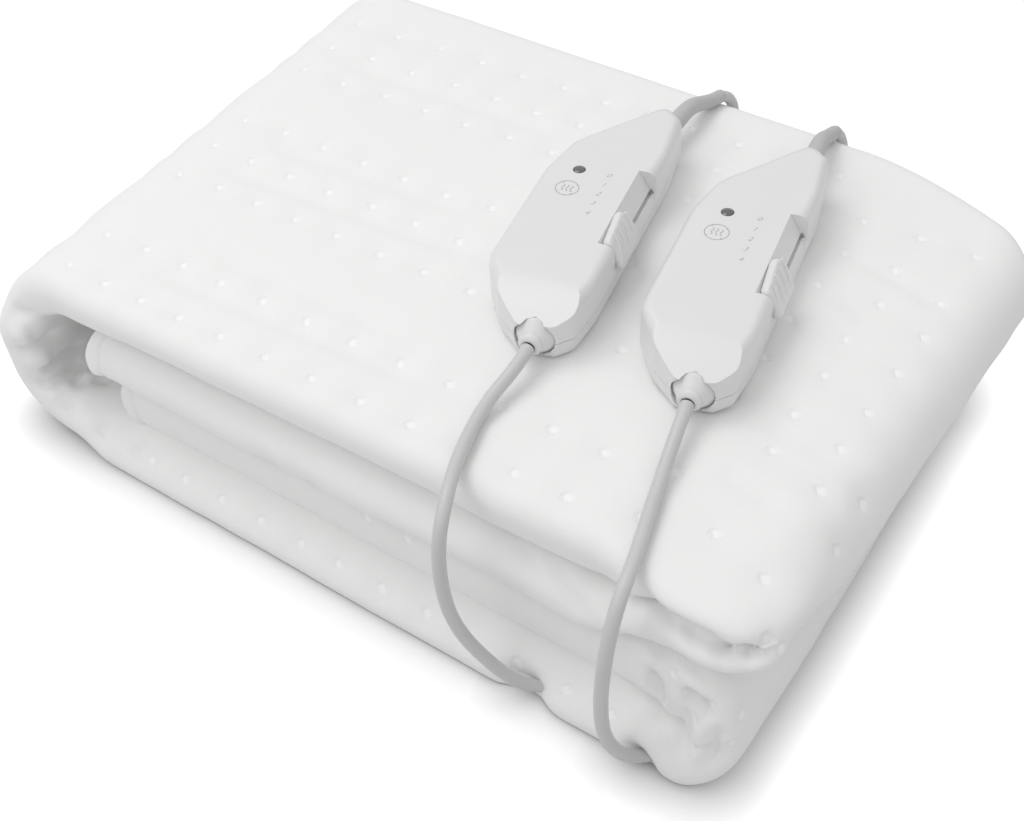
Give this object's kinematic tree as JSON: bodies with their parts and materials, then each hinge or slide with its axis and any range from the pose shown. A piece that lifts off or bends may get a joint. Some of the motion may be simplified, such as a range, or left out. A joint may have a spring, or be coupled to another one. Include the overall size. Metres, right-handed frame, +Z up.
{
  "type": "heated mattress pad",
  "caption": "White spot-welded heated mattress pad, folded to a block with an open loop at its left, slider controllers and their cords lying on top.",
  "frame": {"origin": "middle of the folded pad on the surface it rests on", "axes": "+X along the folded pad's long side away from the open loop, +Y to the back fold lines, +Z up"},
  "size_m": [0.4201, 0.4067, 0.1246],
  "materials": {
    "padded_cloth": "soft nonwoven, matte",
    "shell": "satin",
    "cord_rubber": "smooth, satin",
    "lamp_lens": "clear dark",
    "plug_pins": "bright nickel"
  },
  "bodies": {
    "folded_pad": {"pad": "padded_cloth", "housing_base_1": "shell", "housing_top_1": "shell", "lamp_1": "lamp_lens", "front_relief_1": "cord_rubber", "rear_relief_1": "cord_rubber", "pad_lead_1": "cord_rubber", "mains_lead_1": "cord_rubber", "mains_coil_1": "cord_rubber", "coil_tie_1": "cord_rubber", "mains_tail_1": "cord_rubber", "plug_body_1": "cord_rubber", "plug_pin_a_1": "plug_pins", "plug_pin_b_1": "plug_pins", "housing_base_2": "shell", "housing_top_2": "shell", "lamp_2": "lamp_lens", "front_relief_2": "cord_rubber", "rear_relief_2": "cord_rubber", "pad_lead_2": "cord_rubber", "mains_lead_2": "cord_rubber", "mains_coil_2": "cord_rubber", "coil_tie_2": "cord_rubber", "mains_tail_2": "cord_rubber", "plug_body_2": "cord_rubber", "plug_pin_a_2": "plug_pins", "plug_pin_b_2": "plug_pins"},
    "slider_left": {"thumb_1": "shell"},
    "slider_right": {"thumb_2": "shell"}
  },
  "joints": [
    {"name": "slide_left", "type": "slide", "parent": "folded_pad", "child": "slider_left", "axis": [-0.1908, 0.9816, 0], "range_m": [0, 0.027]},
    {"name": "slide_right", "type": "slide", "parent": "folded_pad", "child": "slider_right", "axis": [-0.1788, 0.9839, 0], "range_m": [0, 0.027]}
  ]
}
